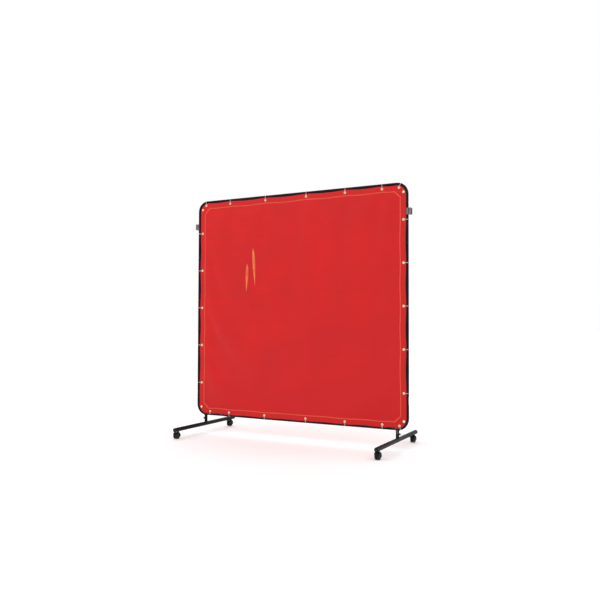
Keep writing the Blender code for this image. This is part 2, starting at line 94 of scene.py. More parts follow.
class HemSettings(bpy.types.PropertyGroup):
    width: length_property("Width", "Curtain's edge in to the hem's inner edge", 0.042)
    chamfer: length_property("Chamfer", "Leg of the slanted cut across the hem's inner corners", 0.047)
    thickness: length_property("Thickness", "Thickness of the folded-over layer", 0.0008)
    seam_width: length_property("Seam width", "Band that the sewing foot presses", 0.008)
    # The seam's paler orange is partly stressed PVC and partly painted highlight along the hem's inner
    # edge.
    seam_highlight_colour: colour_property("Seam colour", "Paler, stressed PVC of the pressed seam", "D6452A")
    stitch_length: length_property("Stitch length", "Pitch of the lock stitches", 0.007)
    thread: length_property("Thread", "Diameter of the sewing thread", 0.0011)
    thread_colour: colour_property("Thread colour", "Orange polyester thread", "DE6A45")


class EyeletSettings(bpy.types.PropertyGroup):
    outer: length_property("Outer diameter", "Diameter of an eyelet's flange", 0.0185)
    inner: length_property("Inner diameter", "Clear hole through an eyelet", 0.0104)
    colour: colour_property("Colour", "Pale brass plate", "EDE2C4")


class TieSettings(bpy.types.PropertyGroup):
    width: length_property("Width", "Width of the band", 0.0036)
    thickness: length_property("Thickness", "Thickness of the band", 0.0012)
    head_length: length_property("Head length", "Length of the locking head along the band", 0.0072)
    head_width: length_property("Head width", "Width of the locking head", 0.0068)
    tail: length_property("Tail", "Cut end left beyond the head", 0.006)
    colour: colour_property("Colour", "Natural nylon", "BDBBB4")


class FrameFinishSettings(bpy.types.PropertyGroup):
    paint: colour_property("Paint", "Black powder coat", "0C0C10")
    dust: colour_property("Dust", "Greyer film on the paint", "17181D")
    bare_steel: colour_property("Bare steel", "Steel where the coat is chipped", "8C8D90")
    clip_colour: colour_property("Clips", "Grey moulding of the coupling clips", "6B6167")
    bead: length_property("Weld bead", "Half width of the weld around a post's top", 0.0028)


class CasterSettings(bpy.types.PropertyGroup):
    hood: colour_property("Hood", "Black plastic of hoods and end caps", "131417")
    tread: colour_property("Tread", "Dark polyurethane of the wheels", "18181C")
    segments: IntProperty(name="Segments", description="Facets around a wheel", default=72, min=16)


class StageSettings(bpy.types.PropertyGroup):
    lens: FloatProperty(name="Lens", description="Focal length on a 36 mm sensor", default=40.2,
                        min=10.0, unit="CAMERA")
    floor_colour: colour_property("Floor", "Pale studio floor", "FCFCFC")


# Mesh helpers

def add_object(name, data):
    """A new object in the scene."""
    obj = bpy.data.objects.new(name, data)
    bpy.context.scene.collection.objects.link(obj)
    return obj


def object_from(bm, name):
    """A scene object with a bmesh's faces. The bmesh is freed."""
    mesh = bpy.data.meshes.new(name)
    bm.to_mesh(mesh)
    bm.free()
    return add_object(name, mesh)


def add_piece(name, bm, material, body="frame", smooth=40.0):
    """Turn a bmesh into a piece that rides on a CAD body."""
    bmesh.ops.recalc_face_normals(bm, faces=bm.faces)
    obj = object_from(bm, name)
    obj.data.shade_smooth()
    obj.data.set_sharp_from_angle(angle=math.radians(smooth))
    obj.data.materials.append(material)
    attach(obj, body)
    return obj


def paint(node, material):
    """Give a CAD node its one material."""
    node.data.materials.clear()
    node.data.materials.append(material)


def add_rings(bm, rings, closed_along=False, closed_around=True):
    """Faces between rings of points, and caps on the ends of a tube of them."""
    rows = [[bm.verts.new(point) for point in ring] for ring in rings]
    pairs = list(zip(rows, rows[1:]))
    if closed_along:
        pairs.append((rows[-1], rows[0]))
    for first, second in pairs:
        count = len(first)
        for i in range(count if closed_around else count - 1):
            j = (i + 1) % count
            bm.faces.new((first[i], first[j], second[j], second[i]))
    if not closed_along and closed_around:
        bm.faces.new(rows[0])
        bm.faces.new(rows[-1])


def add_turned(bm, profile, segments, centre, axis, across, closed=True):
    """Turn a profile of (radius, distance along the axis), whose ends may be poles."""
    up = axis.cross(across)
    rows = []
    for radius, distance in profile:
        middle = centre + axis * distance
        if radius < 1e-9:
            rows.append([bm.verts.new(middle)])
            continue
        turns = [2 * math.pi * i / segments for i in range(segments)]
        rows.append([bm.verts.new(middle + radius * (math.cos(a) * across + math.sin(a) * up))
                     for a in turns])
    pairs = list(zip(rows, rows[1:]))
    if closed:
        pairs.append((rows[-1], rows[0]))
    for lower, upper in pairs:
        for i in range(segments):
            j = (i + 1) % segments
            corners = [lower[i % len(lower)], lower[j % len(lower)],
                       upper[j % len(upper)], upper[i % len(upper)]]
            bm.faces.new(list(dict.fromkeys(corners)))


def add_block(bm, matrix, size, bevel):
    """A box with rounded edges."""
    made = bmesh.ops.create_cube(bm, size=1.0, matrix=matrix @ Matrix.Diagonal((*size, 1)))
    edges = {edge for vert in made["verts"] for edge in vert.link_edges}
    bmesh.ops.bevel(bm, geom=list(edges), offset=bevel, segments=2, affect="EDGES", clamp_overlap=True)


def smoothstep(low, high, value):
    share = min(1.0, max(0.0, (value - low) / (high - low)))
    return share * share * (3 - 2 * share)


# Places taken from the CAD nodes

@functools.cache
def curtain_edges():
    low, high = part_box("curtain")
    return low.x, high.x, low.z, high.z


@functools.cache
def curtain_back():
    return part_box("curtain")[1].y


@functools.cache
def curtain_thickness():
    low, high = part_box("curtain")
    return high.y - low.y


@functools.cache
def eyelet_holes():
    """Centres (x, z) of the holes punched in the curtain's solid."""
    groups = []
    for vertex in CAD_NODES["curtain"].data.vertices:
        point = Vector((vertex.co.x, vertex.co.z))
        for group in groups:
            if (group[0] - point).length < LARGEST_HOLE:
                group.append(point)
                break
        else:
            groups.append([point])
    holes = []
    for group in groups:
        low = Vector((min(p.x for p in group), min(p.y for p in group)))
        high = Vector((max(p.x for p in group), max(p.y for p in group)))
        if all(SMALLEST_HOLE < span < LARGEST_HOLE for span in high - low):
            holes.append((low + high) / 2)
    return sorted(holes, key=tuple)


@functools.cache
def hole_radius():
    """Radius of the circle through a punched hole's corners."""
    centre = eyelet_holes()[0]
    distances = [(Vector((v.co.x, v.co.z)) - centre).length for v in CAD_NODES["curtain"].data.vertices]
    return min(distances)


@functools.cache
def tie_names():
    return sorted(name for name in CAD_NODES if name.startswith("cable_tie_"))


@functools.cache
def tied_holes():
    """The hole that each CAD tie passes through."""
    found = {}
    for name in tie_names():
        low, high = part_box(name)
        inside = [h for h in eyelet_holes() if low.x - 1e-4 < h.x < high.x + 1e-4
                  and low.z - 1e-4 < h.y < high.z + 1e-4]
        found[name] = inside[0]
    return found


@functools.cache
def tube_radius():
    low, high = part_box("rail_top")
    return (high.z - low.z) / 2


@functools.cache
def centre_of(node):
    low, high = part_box(node)
    return (low + high) / 2


def tube_beside(hole):
    """Nearest point of the frame tubes' centreline to a hole (x, z)."""
    middle = centre_of("curtain").z
    side = "right" if hole.x > 0 else "left"
    upright_x, bend_x = centre_of(f"upright_{side}").x, centre_of(f"leg_{side}").x
    rail_z = centre_of("rail_top" if hole.y > middle else "rail_bottom").z
    bend = abs(upright_x - bend_x)
    bend_z = rail_z - math.copysign(bend, rail_z - middle)
    if abs(hole.x) > abs(bend_x) and abs(hole.y - middle) > abs(bend_z - middle):
        corner = Vector((bend_x, bend_z))
        return corner + bend * (hole - corner).normalized()
    beside_rail = abs(hole.y - rail_z) < abs(hole.x - upright_x)
    return Vector((hole.x, rail_z)) if beside_rail else Vector((upright_x, hole.y))


# How the curtain hangs

HANGING_GRID = (78, 76)                   # columns and rows of the settling sheet
SETTLING_FRAMES = 45
FIRST_RIPPLE = 0.0012                     # unevenness that gives the sheet a side to swell to
PINS_PER_TIE = 4
HELD_FLAT, SWELLS_FREELY = 0.035, 0.16    # distances from the edge
HIGHEST_LIFT = 0.0005


def simulate_sheet(settings, columns, rows):
    """Let a flat, slightly slack sheet settle on its ties, and return each point's movement."""
    left, right, bottom, top = curtain_edges()
    bm = bmesh.new()
    verts = [[bm.verts.new((left + (right - left) * i / columns,
                            FIRST_RIPPLE * noise.noise(Vector((i * 0.11, k * 0.05, 3.1))),
                            bottom + (top - bottom) * k / rows))
              for k in range(rows + 1)] for i in range(columns + 1)]
    for i in range(columns):
        for k in range(rows):
            bm.faces.new((verts[i][k], verts[i + 1][k], verts[i + 1][k + 1], verts[i][k + 1]))
    sheet = object_from(bm, "sheet_simulation")
    mesh = sheet.data
    rest = [v.co.copy() for v in mesh.vertices]
    pins = sheet.vertex_groups.new(name="pins")
    for hole in tied_holes().values():
        nearest = sorted(range(len(rest)),
                         key=lambda n: (rest[n].x - hole.x) ** 2 + (rest[n].z - hole.y) ** 2)
        pins.add(nearest[:PINS_PER_TIE], 1.0, "REPLACE")
    cloth = sheet.modifiers.new("Cloth", "CLOTH")
    feel = {"quality": 8, "mass": 0.25, "tension_stiffness": 60, "compression_stiffness": 60,
            "shear_stiffness": 30, "bending_stiffness": 6, "air_damping": 4,
            "shrink_min": -settings.slack, "vertex_group_mass": "pins"}
    for key, value in feel.items():
        setattr(cloth.settings, key, value)
    cloth.collision_settings.use_collision = False
    scene = bpy.context.scene
    cloth.point_cache.frame_start, cloth.point_cache.frame_end = 1, SETTLING_FRAMES
    for number in range(1, SETTLING_FRAMES + 1):
        scene.frame_set(number)
    evaluated = sheet.evaluated_get(bpy.context.evaluated_depsgraph_get())
    moved = [v.co - old for v, old in zip(evaluated.data.vertices, rest)]
    grid = [[moved[i * (rows + 1) + k] for k in range(rows + 1)] for i in range(columns + 1)]
    scene.frame_set(1)
    bpy.data.objects.remove(sheet)
    bpy.data.meshes.remove(mesh)
    return grid


def spline(before, first, second, after, share):
    """A smooth curve through four evenly spaced values, between the middle two."""
    return 0.5 * (2 * first + (second - before) * share
                  + (2 * before - 5 * first + 4 * second - after) * share ** 2
                  + (3 * first - before - 3 * second + after) * share ** 3)


@functools.cache
def hanging():
    """The grid of movements that the hung sheet makes from its flat cut."""
    settings = bpy.context.scene.screen_curtain
    columns, rows = HANGING_GRID
    grid = simulate_sheet(settings, columns, rows)
    return columns, rows, grid


def place(x, z, out):
    """Where a point of the flat curtain hangs, out metres in front of its back face."""
    left, right, bottom, top = curtain_edges()
    columns, rows, grid = hanging()
    u = min(columns - 1e-6, max(0.0, (x - left) / (right - left) * columns))
    v = min(rows - 1e-6, max(0.0, (z - bottom) / (top - bottom) * rows))
    i, k = int(u), int(v)
    lines = []
    for n in range(k - 1, k + 3):
        row = min(rows, max(0, n))
        four = [grid[min(columns, max(0, m))][row] for m in range(i - 1, i + 3)]
        lines.append(spline(*four, u - i))
    move = spline(*lines, v - k)
    edge = min(x - left, right - x, z - bottom, top - z)
    limit = bpy.context.scene.screen_curtain.billow
    swell = limit * math.tanh(move.y / limit) * smoothstep(HELD_FLAT, SWELLS_FREELY, edge)
    side = math.copysign(1.0, x - (left + right) / 2)
    inward = -side * max(0.0, -side * move.x)
    drawn_x, drawn_z = scallop(x, z)
    lift = min(HIGHEST_LIFT, move.z)
    return Vector((x + inward + drawn_x, curtain_back() - out + swell, z + lift + drawn_z))


@functools.cache
def held_places():
    """Heights of the ties along each upright, and places of the ties along each rail."""
    edges = {"left": [], "right": [], "bottom": [], "top": []}
    for name, hole in tied_holes().items():
        edge = name.split("_")[2]
        edges[edge].append(hole.y if edge in SIDES else hole.x)
    return {edge: sorted(places) for edge, places in edges.items()}


def slack_share(edge, along):
    """0 at a tie and beyond the last one, 1 halfway between two ties."""
    places = held_places()[edge]
    for before, after in zip(places, places[1:]):
        if before <= along <= after:
            return math.sin(math.pi * (along - before) / (after - before)) ** 2
    return 0.0


def scallop(x, z):
    """How far the sheet's edges draw in between the ties that hold them, across and up."""
    settings = bpy.context.scene.screen_curtain
    left, right, bottom, top = curtain_edges()
    depth, reach = settings.scallop, settings.scallop_reach

    def drawn(edge, along, distance):
        return depth * slack_share(edge, along) * (1 - smoothstep(0.0, reach, distance))

    return (drawn("left", z, x - left) - drawn("right", z, right - x),
            drawn("bottom", x, z - bottom) - drawn("top", x, top - z))


# The curtain's outline and the loops inside it

def outline_loops(radius, inset, chamfer):
    """Matching loops of (x, z) points: the outline, and a line inside it cut across the corners."""
    left, right, bottom, top = curtain_edges()
    arc_steps, side_steps = 12, 72
    corners = [(right, top, 0, -1, -1), (left, top, 1, 1, -1), (left, bottom, 2, 1, 1),
               (right, bottom, 3, -1, 1)]
    outer, inner = [], []
    ends = []
    for x, z, quarter, inward_x, inward_z in corners:
        centre = Vector((x + inward_x * radius, z + inward_z * radius))
        arc = [centre + radius * Vector((math.cos(a), math.sin(a)))
               for a in (math.pi / 2 * (quarter + i / arc_steps) for i in range(arc_steps + 1))]
        on_side = Vector((x + inward_x * inset, z + inward_z * (inset + chamfer)))
        on_rail = Vector((x + inward_x * (inset + chamfer), z + inward_z * inset))
        first, last = (on_side, on_rail) if quarter % 2 == 0 else (on_rail, on_side)
        cut = [first.lerp(last, i / arc_steps) for i in range(arc_steps + 1)]
        ends.append((arc, cut))
    for n, (arc, cut) in enumerate(ends):
        next_arc, next_cut = ends[(n + 1) % 4]
        outer += arc
        inner += cut
        for i in range(1, side_steps):
            outer.append(arc[-1].lerp(next_arc[0], i / side_steps))
            inner.append(cut[-1].lerp(next_cut[0], i / side_steps))
    return outer, inner


@functools.cache
def corner_radius():
    """Radius of the curtain's rounded corners, from its solid's outline."""
    left, right, bottom, top = curtain_edges()
    flat = [v.co.x for v in CAD_NODES["curtain"].data.vertices if abs(v.co.z - top) < 1e-5]
    return min(flat) - left


def add_border(bm, profile, hem):
    """A closed strip around the curtain, from a cross-section of (inset, out) points."""
    outer, inner = outline_loops(corner_radius(), hem.width, hem.chamfer)
    rings = []
    for edge, line in zip(outer, inner):
        ring = []
        for inset, out in profile:
            flat = edge + (line - edge) * (inset / hem.width)
            ring.append(place(flat.x, flat.y, out))
        rings.append(ring)
    add_rings(bm, rings, closed_along=True)


# Materials

def add_node(tree, kind, inputs=None, **settings):
    """Add a node with its settings, and set or link its inputs."""
    node = tree.nodes.new(kind)
    for key, value in settings.items():
        setattr(node, key, value)
    for key, value in (inputs or {}).items():
        if isinstance(value, bpy.types.NodeSocket):
            tree.links.new(value, node.inputs[key])
        else:
            node.inputs[key].default_value = value
    return node


def new_material(name, **fixed):
    """A material whose shader has these fixed values."""
    material = bpy.data.materials.new(name)
    material.use_nodes = True
    shader = material.node_tree.nodes["Principled BSDF"]
    for socket, value in fixed.items():
        shader.inputs[socket.replace("_", " ")].default_value = value
    return material, material.node_tree, shader


def millimetres(size):
    """Noise scale whose features are about this many millimetres across."""
    return 1000.0 / size


def rgba(colour):
    return (*colour, 1.0)


def dimmed(colour, share):
    """A darker colour, or a lighter one for a share over 1."""
    return tuple(min(1.0, c * share) for c in colour)


def dusted(colour, share, film):
    """A colour under a thin grey film of dust."""
    return tuple(c * share + film for c in colour)


def ramp(tree, value, low, high, start=0.0, end=1.0):
    """Map a value between low and high to one between start and end."""
    return add_node(tree, "ShaderNodeMapRange", {"Value": value, "From Min": low, "From Max": high,
                                                 "To Min": start, "To Max": end}).outputs["Result"]


def blend(tree, share, first, second):
    """Mix two colours, each a fixed one or a socket."""
    first, second = (c if isinstance(c, bpy.types.NodeSocket) else rgba(c) for c in (first, second))
    return add_node(tree, "ShaderNodeMix", {0: share, 6: first, 7: second}, data_type="RGBA").outputs[2]


def noise_field(tree, position, size, detail, **inputs):
    """Noise whose features are about size millimetres across."""
    return add_node(tree, "ShaderNodeTexNoise", {"Vector": position, "Scale": millimetres(size),
                                                 "Detail": detail, **inputs}).outputs["Fac"]


def finish_material(tree, shader, position, colours, patch, roughness, grain, depth):
    """Drift between two colours, vary the roughness and add a fine bump.

    patch and grain are the sizes in millimetres of the tone's patches and of the surface's grain.
    """
    drift = noise_field(tree, position, patch, 4.0)
    tone = blend(tree, ramp(tree, drift, 0.35, 0.68), *colours)
    gloss = ramp(tree, drift, 0.3, 0.7, *roughness)
    bump = add_node(tree, "ShaderNodeBump", {"Height": noise_field(tree, position, grain, 3.0),
                                             "Distance": depth, "Strength": 1.0}).outputs["Normal"]
    tree.links.new(tone, shader.inputs["Base Color"])
    tree.links.new(gloss, shader.inputs["Roughness"])
    tree.links.new(bump, shader.inputs["Normal"])
    return tone, bump


def object_position(tree):
    return add_node(tree, "ShaderNodeTexCoord").outputs["Object"]


def finished(name, colours, patch, roughness, grain, depth, **fixed):
    """A material that has only a finish."""
    material, tree, shader = new_material(name, **fixed)
    finish_material(tree, shader, object_position(tree), colours, patch, roughness, grain, depth)
    return material


@functools.cache
def calendered_pvc():
    # Soft PVC sheet rolled between hot cylinders: an even satin gloss, with a slow drift of tone,
    # painted shade that darkens it towards the lower right, and faint level marks that the rolls leave
    # across it.
    settings = bpy.context.scene.screen_curtain
    material, tree, shader = new_material("calendered_pvc", IOR=1.53, Specular_IOR_Level=0.22)
    position = object_position(tree)
    tone, bump = finish_material(tree, shader, position, (settings.colour, settings.shade), patch=320,
                                 roughness=(0.34, 0.46), grain=9, depth=0.00006)
    # Painted shade: the red darkens with distance from the upper-left corner, towards the lower right.
    left, _, _, top = curtain_edges()
    away = add_node(tree, "ShaderNodeVectorMath", {0: position, 1: Vector((left, 0, top))},
                    operation="DISTANCE")
    shade = blend(tree, ramp(tree, away.outputs["Value"], 1.2, 2.6), tone, settings.shade)
    # Roll marks are a few tenths of a millimetre apart; drawn 14 mm apart so that they show.
    stretched = add_node(tree, "ShaderNodeMapping", {"Vector": position, "Scale": (0.8, 1.0, 70.0)})
    streaks = noise_field(tree, stretched.outputs["Vector"], 1000, 5.0)
    marked = blend(tree, ramp(tree, streaks, 0.3, 0.7, 0.0, 0.55), shade, settings.shade)
    tree.links.new(marked, shader.inputs["Base Color"])
    rolled = add_node(tree, "ShaderNodeBump", {"Height": streaks, "Distance": 0.00015, "Normal": bump})
    tree.links.new(rolled.outputs["Normal"], shader.inputs["Normal"])
    return material


@functools.cache
def pressed_pvc_highlight():
    # The same sheet pressed by the sewing foot, with a finely uneven surface. Its paler orange is
    # partly stressed PVC and partly painted highlight along the hem's inner edge.
    settings = bpy.context.scene.screen_hem
    curtain = bpy.context.scene.screen_curtain
    red_share = 0.25
    mixed = tuple((1 - red_share) * a + red_share * b
                  for a, b in zip(settings.seam_highlight_colour, curtain.colour))
    return finished("pressed_pvc_highlight", (settings.seam_highlight_colour, mixed), patch=60, roughness=(0.34, 0.5),
                    grain=3, depth=0.0002, IOR=1.53, Specular_IOR_Level=0.25)


@functools.cache
def polyester_thread():
    # Twisted filament thread: a soft sheen broken by its 1 mm twist.
    settings = bpy.context.scene.screen_hem
    return finished("polyester_thread", (settings.thread_colour, dimmed(settings.thread_colour, 0.72)),
                    patch=12, roughness=(0.5, 0.7), grain=1, depth=0.0001, IOR=1.57, Sheen_Weight=0.3)


@functools.cache
def crease_highlight_pvc():
    # Painted highlight along a hard crease: lighter orange along the fold and red again at its ends.
    curtain = bpy.context.scene.screen_curtain
    material, tree, shader = new_material("crease_highlight_pvc", IOR=1.53, Specular_IOR_Level=0.25)
    position = object_position(tree)
    # Painted highlight: pale and warm orange stand for light caught along each crease's raised fold.
    pale, warm = linear("DE8448"), linear("D6532D")
    tone, _ = finish_material(tree, shader, position, (pale, warm), patch=90, roughness=(0.34, 0.46),
                              grain=6, depth=0.0001)
    crease_highlight = add_node(tree, "ShaderNodeAttribute", attribute_name="crease_highlight")
    mixed = blend(tree, crease_highlight.outputs["Fac"], curtain.colour, tone)
    tree.links.new(mixed, shader.inputs["Base Color"])
    return material


@functools.cache
def plated_brass():
    # Pressed brass with a pale bright plate: a sharp gloss, dulled a little in fine scratches.
    settings = bpy.context.scene.screen_eyelets
    warm = tuple(c * s for c, s in zip(settings.colour, (0.96, 0.88, 0.70)))
    return finished("plated_brass", (settings.colour, warm), patch=8, roughness=(0.22, 0.38),
                    grain=0.8, depth=0.00004, Metallic=1.0)


@functools.cache
def moulded_nylon():
    # Natural nylon moulding: milky, slightly waxy and a little uneven in tone.
    settings = bpy.context.scene.screen_ties
    return finished("moulded_nylon", (settings.colour, dimmed(settings.colour, 0.9)), patch=10,
                    roughness=(0.36, 0.5), grain=1.2, depth=0.00005, IOR=1.53, Subsurface_Weight=0.15,
                    Subsurface_Scale=0.002)


@functools.cache
def powder_coated_steel():
    # Steel tube under black powder coat: a satin gloss over orange peel, greyed by handling, with
    # small chips down to the steel.
    settings = bpy.context.scene.screen_finish
    material, tree, shader = new_material("powder_coated_steel", IOR=1.5, Specular_IOR_Level=0.08)
    position = object_position(tree)
    # Orange peel is about 1 mm across; drawn at 2.5 mm so that it shows.
    tone, _ = finish_material(tree, shader, position, (settings.paint, settings.dust), patch=140,
                              roughness=(0.28, 0.46), grain=2.5, depth=0.00008)
    chips = noise_field(tree, position, 14, 6.0, Roughness=0.7)
    handled = noise_field(tree, position, 260, 1.0)
    both = add_node(tree, "ShaderNodeMath", {0: chips, 1: handled}, operation="ADD")
    bare = ramp(tree, both.outputs["Value"], 1.32, 1.36)
    tree.links.new(blend(tree, bare, tone, settings.bare_steel), shader.inputs["Base Color"])
    tree.links.new(bare, shader.inputs["Metallic"])
    return material


@functools.cache
def welded_steel():
    # A painted-over arc weld: the coat rides over its ripples and stays a little duller.
    settings = bpy.context.scene.screen_finish
    return finished("welded_steel", (settings.paint, settings.dust), patch=25, roughness=(0.38, 0.55),
                    grain=1.5, depth=0.0002, IOR=1.5, Specular_IOR_Level=0.1)


@functools.cache
def zinc_plated_steel():
    # Bright zinc on steel fasteners: blue-white metal, matt in cloudy spots.
    return finished("zinc_plated_steel", (linear("A9ADB3"), linear("8B8F93")), patch=6,
                    roughness=(0.26, 0.5), grain=1, depth=0.00005, Metallic=1.0)


@functools.cache
def moulded_polypropylene():
    # Black polypropylene from a spark-eroded mould: a fine matt grain, dusty in patches.
    settings = bpy.context.scene.screen_casters
    return finished("moulded_polypropylene", (settings.hood, dusted(settings.hood, 1.7, 0.004)),
                    patch=30, roughness=(0.38, 0.56), grain=1, depth=0.00006, IOR=1.49,
                    Specular_IOR_Level=0.12)


@functools.cache
def cast_polyurethane():
    # Cast polyurethane treads: a softer, duller black that picks up floor dust.
    settings = bpy.context.scene.screen_casters
    return finished("cast_polyurethane", (settings.tread, dusted(settings.tread, 1.9, 0.006)),
                    patch=16, roughness=(0.5, 0.72), grain=1.5, depth=0.0001, IOR=1.5,
                    Specular_IOR_Level=0.12)


@functools.cache
def moulded_abs():
    # Grey ABS clips: even satin plastic with a faint flow pattern.
    settings = bpy.context.scene.screen_finish
    return finished("moulded_abs", (settings.clip_colour, dimmed(settings.clip_colour, 1.25)),
                    patch=22, roughness=(0.36, 0.5), grain=1.2, depth=0.00006, IOR=1.54)


# Pieces

class SCREEN_OT_stage(bpy.types.Operator):
    """Add the camera, the pale floor and the soft lights"""
    bl_idname = "screen.stage"
    bl_label = "Stage"

    def execute(self, context):
        settings = context.scene.screen_stage
        add_camera(settings.lens)
        add_floor(settings.floor_colour)
        add_lights()
        return {"FINISHED"}


def add_camera(lens):
    data = bpy.data.cameras.new("camera")
    data.lens, data.sensor_width = lens, 36.0
    camera = add_object("camera", data)
    turn, pitch, roll = (math.radians(angle) for angle in (27.74, 1.88, 0.17))
    level = math.cos(pitch)
    ahead = Vector((-math.sin(turn) * level, math.cos(turn) * level, math.sin(pitch)))
    camera.location = (2.482, -4.635, 0.921)
    camera.rotation_mode = "QUATERNION"
    upright = ahead.to_track_quat("-Z", "Y")
    camera.rotation_quaternion = upright @ Matrix.Rotation(roll, 3, "Z").to_quaternion()
    bpy.context.scene.camera = camera


def add_floor(colour):
    # Pale studio floor: matt vinyl over a lit table, which keeps it white up to the horizon.
    material = finished("matt_vinyl_floor", (colour, dimmed(colour, 0.985)), patch=900,
                        roughness=(0.75, 0.9), grain=40, depth=0.0002, IOR=1.45,
                        Emission_Color=rgba(colour), Emission_Strength=0.14)
    bm = bmesh.new()
    bmesh.ops.create_circle(bm, cap_ends=True, segments=96, radius=60.0)
    floor = object_from(bm, "floor")
    floor.data.materials.append(material)
    floor.location.z = -0.0004


def add_lights():
    world = bpy.data.worlds.new("studio")
    world.use_nodes = True
    backdrop = world.node_tree.nodes["Background"]
    backdrop.inputs["Color"].default_value = (1.0, 1.0, 1.0, 1.0)
    backdrop.inputs["Strength"].default_value = 1.0
    bpy.context.scene.world = world
    bpy.context.scene.view_settings.view_transform = "Standard"
    for name, place_at, size, power in (("key", (-2.6, -4.2, 4.6), 2.6, 30.0),
                                        ("fill", (4.2, -2.6, 2.6), 2.2, 12.0),
                                        ("back", (-1.5, 4.5, 3.8), 2.6, 30.0)):
        data = bpy.data.lights.new(name, "AREA")
        data.size, data.energy = size, power
        light = add_object(name, data)
        light.location = place_at
        aim = Vector((0, 0, 1.0)) - Vector(place_at)
        light.rotation_mode = "QUATERNION"
        light.rotation_quaternion = aim.to_track_quat("-Z", "Y")


class SCREEN_OT_curtain(bpy.types.Operator):
    """Hang the red sheet, with a hole at every eyelet"""
    bl_idname = "screen.curtain"
    bl_label = "Curtain"

    def execute(self, context):
        settings = context.scene.screen_curtain
        curtain = add_piece("curtain_sheet", sheet_bmesh(settings.grid_step), calendered_pvc())
        punch_holes(curtain)
        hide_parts("curtain")
        return {"FINISHED"}


def sheet_lines(low, high, radius, step):
    """Grid lines from edge to edge, closer together where the corners curve."""
    arc = [radius * (1 - math.cos(math.pi / 2 * i / 9)) for i in range(9)]
    count = round((high - low - 2 * radius) / step)
    middle = [low + radius + (high - low - 2 * radius) * i / count for i in range(count + 1)]
    return [low + a for a in arc] + middle + [high - a for a in reversed(arc)]


def sheet_bmesh(step):
    """A thin closed sheet with rounded corners, shaped as it hangs."""
    left, right, bottom, top = curtain_edges()
    radius = corner_radius()
    thick = curtain_thickness()
    bm = bmesh.new()
    columns = sheet_lines(left, right, radius, step)
    rows = sheet_lines(bottom, top, radius, step)
    layers = []
    for out in (0.0, thick):
        layer = []
        for z in rows:
            near = min(z - bottom, top - z)
            cut = radius - math.sqrt(max(0.0, radius ** 2 - max(0.0, radius - near) ** 2))
            line = []
            for x in columns:
                edge = min(x - left, right - x)
                pull = cut * max(0.0, 1 - edge / (2 * radius))
                inward = 1 if x < (left + right) / 2 else -1
                line.append(bm.verts.new(place(x + inward * pull, z, out)))
            layer.append(line)
        layers.append(layer)
    back, front = layers
    for layer in layers:
        for first, second in zip(layer, layer[1:]):
            for i in range(len(columns) - 1):
                bm.faces.new((first[i], first[i + 1], second[i + 1], second[i]))
    rims = []
    for layer in (back, front):
        rim = list(layer[0]) + [line[-1] for line in layer[1:]]
        rim += list(reversed(layer[-1][:-1])) + [line[0] for line in reversed(layer[1:-1])]
        rims.append(rim)
    for i in range(len(rims[0])):
        j = (i + 1) % len(rims[0])
        bm.faces.new((rims[0][i], rims[0][j], rims[1][j], rims[1][i]))
    return bm


def punch_holes(obj):
    """Cut the eyelets' holes right through a piece."""
    bm = bmesh.new()
    for hole in eyelet_holes():
        centre = place(hole.x, hole.y, 0.0)
        add_turned(bm, [(0, -0.01), (hole_radius(), -0.01), (hole_radius(), 0.01), (0, 0.01)],
                   HOLE_SIDES, centre, FORWARD, ACROSS, closed=False)
    bmesh.ops.recalc_face_normals(bm, faces=bm.faces)
    punch = object_from(bm, "punches")
    modifier = obj.modifiers.new("holes", "BOOLEAN")
    modifier.operation, modifier.solver, modifier.object = "DIFFERENCE", "EXACT", punch
    bpy.context.view_layer.update()
    evaluated = obj.evaluated_get(bpy.context.evaluated_depsgraph_get())
    punched = bpy.data.meshes.new_from_object(evaluated)
    obj.modifiers.remove(modifier)
    old = obj.data
    obj.data = punched
    punched.name = old.name + "_punched"
    bpy.data.meshes.remove(old)
    bpy.data.meshes.remove(punch.data)


class SCREEN_OT_hem(bpy.types.Operator):
    """Fold the hem over the sheet's edge, and sew its inner edge down"""
    bl_idname = "screen.hem"
    bl_label = "Hem"

    def execute(self, context):
        settings = context.scene.screen_hem
        thick, layer, gap = curtain_thickness(), settings.thickness, 0.00005
        width, half = settings.width, settings.seam_width / 2
        top = thick + layer
        # Cross-sections, as distances in from the curtain's edge and out from its back face.
        fold = [(width, thick + gap), (width, top - 0.0002), (width - 0.0004, top)]
        fold += [(width * share, top) for share in (0.8, 0.6, 0.4, 0.2, 0.03)]
        fold += [(-0.0008, top - 0.0004), (-0.0014, top / 2), (-0.0008, 0.0003), (-0.0002, 0.0001),
                 (-0.0002, thick + gap)]
        fold += [(width * share, thick + gap) for share in (0.25, 0.5, 0.75)]
        bm = bmesh.new()
        add_border(bm, fold, settings)
        hem = add_piece("curtain_hem", bm, calendered_pvc())
        punch_holes(hem)
        seam = [(width - half, top + gap), (width - half + 0.0006, top + 0.0004),
                (width - 0.0008, top + 0.0005), (width + 0.0012, thick + 0.0009),
                (width + half - 0.0006, thick + 0.0005), (width + half, thick + gap),
                (width + 0.0003, thick + gap), (width + 0.0002, top + gap)]
        bm = bmesh.new()
        add_border(bm, seam, settings)
        add_piece("hem_seam", bm, pressed_pvc_highlight())
        add_piece("hem_stitches", stitches_bmesh(settings, top), polyester_thread())
        return {"FINISHED"}


